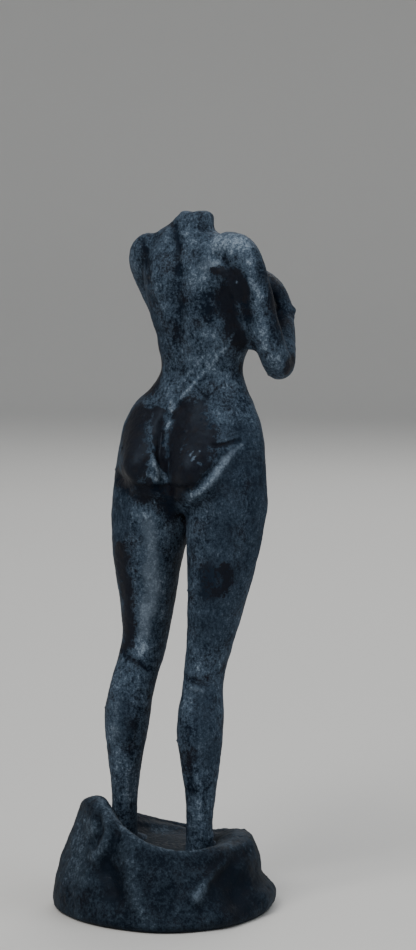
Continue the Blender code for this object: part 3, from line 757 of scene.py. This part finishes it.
def worked_skin():
    """The whole figure as one mesh, sculpted, and how much each point belongs to each arm."""
    body = [torso_skin(), tube(arm_frames(WEB, 5))]
    for sections, turn in ((RIGHT_LEG, -FOOT_TURN), (LEFT_LEG, FOOT_TURN)):
        body += [leg_skin(sections), foot_skin(sections[-1][1], turn)]
    arms = {"right_arm": arm_skins(RIGHT_ARM), "left_arm": arm_skins(LEFT_ARM)}
    arms["right_arm"].append(tube(arm_frames(THUMB, 5)))
    mesh = fused_mesh("figure", [*body, *arms["right_arm"], *arms["left_arm"]])
    points, edges = read_points(mesh), read_edges(mesh)
    to_body = distances(body, points)
    arm_share = {}
    for name, skins in arms.items():
        arm_share[name] = relaxed(to_body - distances(skins, points), edges, 8)[:, 0]
    hand = np.clip((26 + points[:, 1]) / -2, 0, 1)
    foot = np.clip((22 - points[:, 2]) / 4, 0, 1)
    crisp = np.maximum(hand, foot) * np.maximum(points[:, 2] < 130, points[:, 0] > -22)
    points = relaxed(points, edges, 26, 0.5 * (1 - 0.93 * crisp))
    write_points(mesh, points)
    normals = read_normals(mesh)
    push = stroked(points, normals, CARVING, 0.45 * grain(points, 2.6, 7.7))
    push += 0.22 * grain(points, 6, 3.1) + 0.1 * grain(points, 2.2, 8.4) + 0.05 * grain(points, 0.9, 1.7)
    neck = np.clip((points[:, 2] - 197.5) / 3, 0, 1)
    push += neck * 0.35 * grain(points, 2.6, 5.2)
    push += pimples(points, 90, 11)
    points = points + normals * push[:, None]
    points[:, 2] = np.minimum(points[:, 2], NECK_TOP_Z)
    write_points(mesh, points)
    return mesh, arm_share


def distances(skins, points):
    """How far each point is from the nearest of several skins."""
    skin_points, faces = joined(skins)
    tree = BVHTree.FromPolygons(skin_points.tolist(), faces)
    return np.array([tree.find_nearest(point)[3] for point in points.tolist()])


def covered(points, normals, strokes, wobble):
    """From 0 to 1, how far inside any of the strokes each point is; 0.5 is at a stroke's edge."""
    most = np.zeros(len(points))
    for view, group in strokes.items():
        flat, facing = seen_from(view, points, normals)
        for width, *line in group:
            reach = np.maximum(0, line_reach(flat, line) + wobble)
            most = np.maximum(most, facing * np.clip(1 - 0.5 * reach / width, 0, 1))
    return most


def paint_values(mesh, brushing_and_painted_light, varnish, wash):
    """What the paint does at each point: pale brushing with painted shade and highlights among it,
    varnish, wash, and how hollow the skin is.
    """
    points, normals, edges = read_points(mesh), read_normals(mesh), read_edges(mesh)
    wobble = grain(points, 3.2, 5.5) + 0.6 * grain(points, 1.4, 2.8)
    brush_and_painted_light = stroked(points, normals, brushing_and_painted_light, 0.5 * wobble)
    return {
        "brush_and_painted_light": MOST_BRUSH * np.tanh(brush_and_painted_light / MOST_BRUSH),
        "varnish": covered(points, normals, varnish, 0.8 * wobble),
        "wash": covered(points, normals, wash, 1.8 * wobble),
        "hollow": hollows(points, normals, edges),
    }


def quads_of(mesh):
    """The faces of a mesh that has only quads, which is what the voxel remesher makes."""
    return read(mesh.loops, "vertex_index", 1, np.int32).reshape(-1, 4).tolist()


def sides_of(face):
    return zip(face, face[1:] + face[:1])


def largest_patch(faces, chosen):
    """The indices, out of those chosen, of the largest patch of faces that share edges."""
    sides = {}
    for i in chosen:
        face = faces[i]
        for a, b in sides_of(face):
            sides.setdefault((min(a, b), max(a, b)), []).append(i)
    left, best = set(chosen), set()
    while left:
        seed = left.pop()
        patch, front = {seed}, [seed]
        while front:
            face = faces[front.pop()]
            for a, b in sides_of(face):
                for other in sides[min(a, b), max(a, b)]:
                    if other in left:
                        left.discard(other)
                        patch.add(other)
                        front.append(other)
        if len(patch) > len(best):
            best = patch
    return best


def closed_part(name, points, faces):
    """A mesh of these faces and the points they use, with a fan over each opening."""
    following = dict.fromkeys(side for face in faces for side in sides_of(face))
    ends = {}
    for a, b in following:
        if (b, a) not in following:
            ends.setdefault(a, []).append(b)
    points = list(points)
    while ends:
        start = next(iter(ends))
        loop = [start]
        while True:
            step = ends[loop[-1]].pop()
            if not ends[loop[-1]]:
                del ends[loop[-1]]
            if step == start:
                break
            loop.append(step)
        middle = len(points)
        points.append(np.mean([points[i] for i in loop], axis=0))
        faces = [*faces, *([b, a, middle] for a, b in sides_of(loop))]
    used = sorted({i for face in faces for i in face})
    place = {old: new for new, old in enumerate(used)}
    mesh = bpy.data.meshes.new(name)
    kept = [(np.asarray(points[i]) * MM).tolist() for i in used]
    mesh.from_pydata(kept, [], [[place[i] for i in face] for face in faces])
    return mesh


def cut(name, mesh, cutters, added=()):
    """The mesh with helper objects added to it or cut out of it; the helpers are removed."""
    work = new_object(f"{name}_work", mesh)
    for helper in (*added, *cutters):
        modifier = work.modifiers.new(helper.name, "BOOLEAN")
        modifier.object = helper
        modifier.operation = "UNION" if helper in added else "DIFFERENCE"
        modifier.solver = "MANIFOLD"
    made = evaluated_mesh(work)
    made.name = name
    for helper in (work, *added, *cutters):
        bpy.data.objects.remove(helper)
    return made


def placed(middle, direction):
    """The matrix that puts a shape at a point and turns its Z axis to a direction."""
    return Matrix.Translation(middle) @ direction.to_track_quat("Z", "Y").to_matrix().to_4x4()


def helper_object(name, shape):
    bmesh.ops.scale(shape, vec=(MM, MM, MM), verts=shape.verts)
    mesh = bpy.data.meshes.new(name)
    shape.to_mesh(mesh)
    shape.free()
    return new_object(name, mesh)


def rod(name, x, y, low, high, radius):
    """A round bar that stands upright."""
    shape = bmesh.new()
    place = placed(Vector((x, y, (low + high) / 2)), Vector((0, 0, 1)))
    sizes = {"radius1": radius, "radius2": radius, "depth": high - low}
    bmesh.ops.create_cone(shape, cap_ends=True, segments=ROD_SIDES, matrix=place, **sizes)
    return helper_object(name, shape)


def half_space(name, point, normal):
    """A large block that starts at a point and fills the side that the normal points to."""
    shape = bmesh.new()
    size = 300
    bmesh.ops.create_cube(shape, size=size, matrix=placed(point + normal.normalized() * size / 2, normal))
    return helper_object(name, shape)


def painted_like(mesh, source, values):
    """Gives each point of the mesh the paint values of the nearest point of the source."""
    points = read_points(source)
    tree = KDTree(len(points))
    for i, point in enumerate(points.tolist()):
        tree.insert(point, i)
    tree.balance()
    chosen = [tree.find(point)[1] for point in read_points(mesh).tolist()]
    for name, numbers in values.items():
        layer = mesh.attributes.new(name, "FLOAT", "POINT")
        layer.data.foreach_set("value", np.asarray(numbers[chosen], np.float32))
    mesh.shade_smooth()
    mesh.set_sharp_from_angle(angle=SHARP)


def figure_pieces():
    """The figure's meshes by piece, parted along the castings' seams."""
    whole, arm_share = worked_skin()
    values = paint_values(whole, BRUSHING_AND_PAINTED_LIGHT, VARNISH, WASH)
    points, faces = read_points(whole), quads_of(whole)
    meshes, taken = {}, set()
    for name, share in arm_share.items():
        patch = largest_patch(faces, [i for i, face in enumerate(faces) if share[face].mean() > 0])
        taken |= patch
        meshes[name] = closed_part(name, points, [faces[i] for i in sorted(patch)])
    body_faces = largest_patch(faces, [i for i in range(len(faces)) if i not in taken])
    body = closed_part("body", points, [faces[i] for i in sorted(body_faces)])
    neck = Vector((CROTCH.x, CROTCH.y, NECK_SEAM_Z))
    up = Vector((0, 0, 1))
    saws = [half_space("neck_saw", neck, up)]
    for side, out in (("right", -1), ("left", 1)):
        down = Vector((out * math.sin(HIP_TILT), 0, -math.cos(HIP_TILT)))  # from the torso into the leg
        saws.append(half_space(f"{side}_hip_saw", CROTCH, down))
        trims = [
            half_space(f"above_{side}_hip", CROTCH, -down),
            half_space(f"beside_{side}_leg", CROTCH, -Vector((out, 0, 0))),
            rod(f"{side}_stud_bore", *STUDS[side], STUD_FOOT_Z, STUD_TOP_Z, STUD_RADIUS),
        ]
        meshes[f"{side}_leg"] = cut(f"{side}_leg", body, trims)
    meshes["torso"] = cut("torso", body, saws)
    meshes["neck_plug"] = cut("neck_plug", body, [half_space("below_neck", neck, -up)])
    for mesh in meshes.values():
        painted_like(mesh, whole, values)
    return meshes


def rock_values(angle):
    """The rock's sizes in one direction, smooth all the way round."""
    share, at = math.modf(angle / (2 * math.pi / len(ROCK)))
    around = [ROCK[(int(at) + offset) % len(ROCK)] for offset in (-1, 0, 1, 2)]
    return between(around, share)


def resampled(line, step_count):
    """Points evenly spaced along a smooth curve through the points of a line."""
    fine = smooth_rows(line, 12)
    length = np.concatenate([[0], np.cumsum(np.linalg.norm(np.diff(fine, axis=0), axis=1))])
    at = np.linspace(0, length[-1], step_count + 1)
    return np.stack([np.interp(at, length, fine[:, k]) for k in range(2)], 1)


def rock_profile(angle):
    """The rock's skin from the middle of the basin to the foot of the wall, then the underside."""
    floor_radius, middle_radius, rim_radius, rim_z, rim_thick = rock_values(angle)
    under = floor_radius - ROCK_SHELL
    rise = rim_z - ROCK_FLOOR_Z
    shelf = rim_radius - rim_thick
    skin = [
        (0.4, ROCK_FLOOR_Z),
        (0.4 * shelf, ROCK_FLOOR_Z),
        (0.68 * shelf, ROCK_FLOOR_Z + 0.1 * rise),
        (0.86 * shelf, ROCK_FLOOR_Z + 0.34 * rise),
        (0.97 * shelf, ROCK_FLOOR_Z + 0.68 * rise),
        (shelf + 0.2 * rim_thick, rim_z - 0.7),
        (rim_radius - 0.5 * rim_thick, rim_z),
        (rim_radius - 1.2, rim_z - 0.9),
        (rim_radius + 0.3, rim_z - 3.4),
        (0.5 * (rim_radius + middle_radius), 0.7 * rim_z),
        (middle_radius, 0.42 * rim_z),
        (floor_radius, 2.6),
        (floor_radius - 0.7, ROCK_BOTTOM_Z),
    ]
    underside = [
        (under, ROCK_BOTTOM_Z),
        (under, PLATE_SEAT_Z),
        (under - 2, PLATE_SEAT_Z),
        (under - 3, ROCK_CEILING_Z),
        (0.3 * under, ROCK_CEILING_Z),
        (0.4, ROCK_CEILING_Z),
    ]
    return np.concatenate([resampled(skin, ROCK_SKIN_STEPS), underside])


def revolved(name, sides, profile_at):
    """A closed mesh round the vertical axis; profile_at gives the radii and heights at an angle."""
    columns = []
    for angle in 2 * math.pi * np.arange(sides) / sides:
        radius, height = np.array(profile_at(angle)).T
        columns.append(np.stack([radius * math.cos(angle), radius * math.sin(angle), height], 1))
    return raw_mesh(name, *ring_skin(np.stack(columns, 1)))


def screw_spots():
    for i in range(SCREWS):
        angle = SCREW_TURN + 2 * math.pi * i / SCREWS
        yield i + 1, SCREW_CIRCLE * math.cos(angle), SCREW_CIRCLE * math.sin(angle)


def rock_mesh():
    """The rock, folded and roughened outside and in its basin, with its bosses and bores below."""
    mesh = revolved("rock_work", ROCK_SIDES, rock_profile)
    points, normals = read_points(mesh), read_normals(mesh)
    outside = np.zeros(len(points))
    outside[: ROCK_SKIN_STEPS * ROCK_SIDES] = 1
    outside *= np.clip((points[:, 2] - ROCK_BOTTOM_Z) / 1.2, 0, 1)
    radius = np.linalg.norm(points[:, :2], axis=1)
    wall = outside * np.clip((radius - 15) / 5, 0.15, 1)
    push = wall * stroked(points, normals, ROCK_CARVING, 0.8 * grain(points, 4, 1.3))
    push += wall * (0.55 * grain(points, 9, 2.3) + 0.2 * grain(points, 3.4, 6.1))
    push += outside * (0.12 * grain(points, 1.5, 4.4) + 0.07 * grain(points, 0.8, 9.2))
    push += wall * pimples(points, 60, 5)
    write_points(mesh, points + normals * push[:, None])
    values = paint_values(mesh, ROCK_BRUSHING_AND_PAINTED_SHADE, {}, ROCK_WASH)
    bosses, bores = [], []
    for number, x, y in screw_spots():
        bosses.append(rod(f"boss_{number}", x, y, PLATE_SEAT_Z, ROCK_CEILING_Z + 1, BOSS_RADIUS))
        bores.append(rod(f"boss_bore_{number}", x, y, 0, SCREW_TOP_Z + GAP, SCREW_RADIUS + PIN_GAP))
    for side, spot in STUDS.items():
        bores.append(rod(f"{side}_stud_bore", *spot, STUD_FOOT_Z, STUD_TOP_Z, STUD_RADIUS + PIN_GAP))
    made = cut("rock_base", mesh, bores, bosses)
    painted_like(made, mesh, values)
    return made


def felt_profile(angle):
    radius = rock_values(angle)[0] - ROCK_SHELL - GAP
    shares = (0.05, 0.35, 0.65, 0.95)
    top = [(share * radius, FELT_THICK) for share in shares]
    edge = [(radius - 0.35, FELT_THICK), (radius, FELT_THICK - 0.3), (radius, 0.3), (radius - 0.35, 0)]
    return top + edge + [(share * radius, 0) for share in reversed(shares)]


def felt_mesh():
    """The felt pad: a soft-edged sheet with a napped surface, within the opening under the rock."""
    mesh = revolved("felt_pad", FELT_SIDES, felt_profile)
    points, normals = read_points(mesh), read_normals(mesh)
    level = points[:, 2].copy()
    points += normals * (0.05 * grain(points, 0.7, 3.3))[:, None]
    points[:, 2] = np.clip(points[:, 2], 0, FELT_THICK)
    points[level <= 0, 2] = 0
    write_points(mesh, points)
    mesh.shade_smooth()
    return mesh


class Nodes:
    """A short way to write shader nodes."""

    def __init__(self, name):
        self.material = bpy.data.materials.new(name)
        self.material.use_nodes = True
        self.tree = self.material.node_tree
        self.shader = self.tree.nodes["Principled BSDF"]
        place = self.new("TexCoord")
        self.millimetres = self.vector("MULTIPLY", place.outputs["Object"], (1 / MM, 1 / MM, 1 / MM))

    def new(self, kind):
        return self.tree.nodes.new(f"ShaderNode{kind}")

    def fill(self, node, inputs):
        """Links or sets a node's inputs, which are given by name or number."""
        for name, value in inputs.items():
            if isinstance(value, bpy.types.NodeSocket):
                self.tree.links.new(value, node.inputs[name])
            else:
                node.inputs[name].default_value = value
        return node

    def vector(self, operation, first, second):
        node = self.new("VectorMath")
        node.operation = operation
        return self.fill(node, {0: first, 1: second}).outputs[0]

    def math(self, operation, first, second=0, third=0, clamp=False):
        node = self.new("Math")
        node.operation = operation
        node.use_clamp = clamp
        return self.fill(node, {0: first, 1: second, 2: third}).outputs[0]

    def total(self, *terms):
        """The sum of terms, each a socket with its weight."""
        result = 0
        for socket, weight in terms:
            result = self.math("MULTIPLY_ADD", socket, weight, result)
        return result

    def noise(self, size, detail, rough, stretch=(1, 1, 1), warp=0):
        """Noise with features of that size in millimetres."""
        node = self.new("TexNoise")
        place = self.vector("MULTIPLY", self.millimetres, stretch)
        self.fill(node, {"Vector": place, "Scale": 1 / size, "Detail": detail})
        return self.fill(node, {"Roughness": rough, "Distortion": warp}).outputs[0]

    def value(self, name):
        node = self.new("Attribute")
        node.attribute_name = name
        return node.outputs["Fac"]

    def step(self, value, low, high):
        """From 0 to 1 as the value goes from low to high, smoothly."""
        node = self.new("MapRange")
        node.interpolation_type = "SMOOTHSTEP"
        return self.fill(node, {"Value": value, "From Min": low, "From Max": high}).outputs["Result"]

    def scale(self, share, low, high):
        return self.math("MULTIPLY_ADD", share, high - low, low)

    def mix(self, share, first, second, most=1):
        """At most that far from the first shade to the second; a shade is a socket or three numbers."""
        node = self.new("Mix")
        node.data_type = "RGBA"
        for number, shade in ((6, first), (7, second)):
            self.fill(node, {number: shade if isinstance(shade, bpy.types.NodeSocket) else (*shade, 1)})
        return self.fill(node, {"Factor": self.scale(share, 0, most)}).outputs[2]

    def finish(self, colour, roughness, height, depth, **settings):
        """Links the results; depth is the height of the bumps in millimetres."""
        bump = self.fill(self.new("Bump"), {"Distance": depth * MM, "Height": height})
        self.fill(self.shader, {"Normal": bump.outputs[0], "Base Color": colour, "Roughness": roughness})
        self.fill(self.shader, {name.replace("_", " "): value for name, value in settings.items()})
        return self.material


def paint(name, dark, umber, slate, pale, chalk, cover, streak):
    """Dark paint, dry-brushed with paler paint that catches on what stands out, varnished in places;
    painted shade and painted highlights come in through the brushing and hollow values.
    """
    nodes = Nodes(name)
    cloud = nodes.noise(6, 2, 0.5, warp=0.4)
    mottle = nodes.noise(1.9, 3, 0.6, warp=0.5)
    speckle = nodes.noise(0.8, 2, 0.65, warp=0.3)
    grit = nodes.noise(0.42, 1, 0.5)
    drag = nodes.noise(0.75, 2, 0.6, stretch=streak)
    brush_and_painted_light, hollow = nodes.value("brush_and_painted_light"), nodes.value("hollow")
    relief = nodes.total((mottle, 0.9), (speckle, 1.3), (grit, 0.9), (drag, 0.9))
    # Less pale paint in creases, as dry-brushing leaves them, and painted shade in deep recesses through
    # the broad part of hollow.
    load = nodes.total((relief, 1), (cloud, 0.7), (brush_and_painted_light, 1), (hollow, -0.22))
    thin = nodes.step(load, 1.95 - cover, 2.8 - cover)
    thick = nodes.step(load, 2.6 - cover, 3.5 - cover)
    tone = nodes.step(nodes.noise(7, 3, 0.5), 0.42, 0.7)
    colour = nodes.mix(tone, dark, umber, 0.7)
    colour = nodes.mix(thin, colour, pale, 0.95)
    colour = nodes.mix(thick, colour, chalk, 0.9)
    wash = nodes.step(nodes.total((nodes.value("wash"), 1), (mottle, 0.5)), 0.45, 1.05)
    thinned = nodes.mix(nodes.step(brush_and_painted_light, 0.1, 0.6), slate, chalk, 0.45)
    colour = nodes.mix(wash, colour, thinned, 0.5)
    spread = nodes.value("varnish")
    edge = nodes.total((spread, 1), (speckle, 1), (mottle, 1.5), (grit, 0.5), (brush_and_painted_light, -0.85))
    gloss = nodes.step(edge, 1.9, 2.08)
    smear = nodes.step(nodes.noise(2.2, 4, 0.6), 0.5, 0.75)
    coat = nodes.mix(nodes.scale(smear, 0.55, 1), dark, umber)
    colour = nodes.mix(gloss, colour, coat, 0.94)
    roughness = nodes.total((thin, 0.12), (grit, 0.12), (gloss, -0.2), (wash, 0.2))
    roughness = nodes.math("ADD", roughness, 0.54, clamp=True)
    bare = nodes.scale(gloss, 1, 0.35)
    height = nodes.math("MULTIPLY", nodes.total((speckle, 0.7), (grit, 0.5), (thin, 0.15)), bare)
    sheen = {"Metallic": 0, "Specular_IOR_Level": 0.12, "Specular_Tint": (0.55, 0.75, 1, 1)}
    return nodes.finish(colour, roughness, height, 0.12, **sheen)


def steel():
    """Zinc-plated steel with fine turning marks and dull patches."""
    nodes = Nodes("zinc_steel_look")
    patch = nodes.noise(2.5, 4, 0.6)
    marks = nodes.noise(0.12, 2, 0.5, stretch=(1, 1, 6))
    colour = nodes.mix(nodes.step(patch, 0.35, 0.7), (0.36, 0.36, 0.35), (0.62, 0.62, 0.6))
    roughness = nodes.math("ADD", nodes.total((patch, 0.2), (marks, 0.12)), 0.18)
    return nodes.finish(colour, roughness, marks, 0.02, Metallic=1)


def felt():
    """Dark grey felt: matted fibres of slightly different greys."""
    nodes = Nodes("grey_felt_look")
    fibre = nodes.noise(0.5, 5, 0.8, warp=2.5)
    patch = nodes.noise(6, 3, 0.6)
    share = nodes.total((fibre, 0.8), (patch, 0.3))
    colour = nodes.mix(nodes.step(share, 0.35, 0.75), (0.018, 0.021, 0.021), (0.06, 0.066, 0.065))
    roughness = nodes.scale(fibre, 0.85, 1)
    return nodes.finish(colour, roughness, fibre, 0.25, Sheen_Weight=0.25)


def studio_grey():
    nodes = Nodes("studio_grey")
    tone = nodes.step(nodes.noise(900, 2, 0.5), 0.3, 0.7)
    colour = nodes.mix(tone, (0.56, 0.555, 0.54), (0.585, 0.58, 0.565))
    return nodes.finish(colour, nodes.scale(tone, 0.7, 0.8), tone, 0.1)


def add_piece(name, mesh, finish, slot, *replaced):
    mesh.materials.clear()
    mesh.materials.append(finish)
    piece = new_object(name, mesh)
    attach(piece, "root")
    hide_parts(*replaced)


def build_object():
    figure_paint = paint(
        "dry_brushed_figure",
        dark=(0.0022, 0.0049, 0.0112),
        umber=(0.0078, 0.0056, 0.006),
        slate=(0.0125, 0.0205, 0.033),
        pale=(0.046, 0.068, 0.098),
        chalk=(0.22, 0.275, 0.34),
        cover=0,
        streak=(1, 1, 0.35),
    )
    rock_paint = paint(
        "dry_brushed_rock",
        dark=(0.0014, 0.0032, 0.0072),
        umber=(0.0046, 0.0044, 0.0066),
        slate=(0.01, 0.016, 0.022),
        pale=(0.018, 0.0275, 0.04),
        chalk=(0.08, 0.107, 0.14),
        cover=-0.12,
        streak=(1, 1, 0.6),
    )
    for name, mesh in figure_pieces().items():
        add_piece(f"{name}_cast", mesh, figure_paint, "patinated_bronze", name)
    add_piece("rock_base_cast", rock_mesh(), rock_paint, "patinated_bronze_rock", "rock_base")
    add_piece("felt_pad_napped", felt_mesh(), felt(), "grey_felt", "felt_pad")
    plated = steel()
    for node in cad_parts.values():
        if not node.hide_render:
            node.data.materials.clear()
            node.data.materials.append(plated)


def build_stage():
    """A round floor that sweeps up into a wall, far enough out for a camera on any side."""
    flat = [(0.02, 0), (0.4, 0), (0.9, 0), (1.5, 0)]
    sweep = [(2.1, 0.02), (2.6, 0.2), (2.9, 0.6), (3, 1.2), (3, 3)]
    rings = []
    for radius, height in smooth_rows(flat + sweep, 8):
        rings.append(level_ring(FLOOR_SIDES, max(0, height), 0, 0, radius, radius, radius) / MM)
    points, faces = ring_skin(rings)
    stage = new_object("floor_sweep", raw_mesh("floor_sweep", points, faces[:-1]))
    stage.data.flip_normals()
    stage.data.shade_smooth()
    stage.data.materials.append(studio_grey())
    stage.visible_shadow = False


def add_light(name, place, size, watts, colour):
    """A square lamp that points at the middle of the object."""
    light = bpy.data.lights.new(name, "AREA")
    light.size = size
    light.energy = watts
    light.color = colour
    lamp = new_object(name, light)
    lamp.location = place
    lamp.rotation_euler = (Vector((0, 0, 0.11)) - Vector(place)).to_track_quat("-Z", "Y").to_euler()


def build_lights():
    """Soft light all round, with a large lamp high behind the figure and two weaker ones."""
    world = bpy.data.worlds.new("studio")
    bpy.context.scene.world = world
    world.use_nodes = True
    sky = world.node_tree.nodes["Background"]
    sky.inputs["Color"].default_value = (0.93, 0.96, 1, 1)
    sky.inputs["Strength"].default_value = 0.62
    add_light("key", (0.1, 1, 1.15), 0.8, 17, (1, 0.98, 0.95))
    add_light("fill", (-1, -0.1, 0.8), 0.9, 5, (0.92, 0.96, 1))
    add_light("front", (0.3, -1.1, 0.9), 0.9, 6, (1, 0.99, 0.97))


def build_camera():
    """Behind the figure's right shoulder, a little above its neck and looking slightly down."""
    azimuth, distance, height = math.radians(210), 0.8, 0.206
    pitch, yaw = math.radians(5.727), math.radians(0.92)
    camera = bpy.data.cameras.new("camera")
    camera.sensor_width = 36
    camera.lens = 106.14
    stand = new_object("camera", camera)
    stand.location = (distance * math.sin(azimuth), -distance * math.cos(azimuth), height)
    stand.rotation_euler = (math.pi / 2 - pitch, 0, azimuth - yaw)
    bpy.context.scene.camera = stand


build_camera()
build_lights()
build_stage()
build_object()
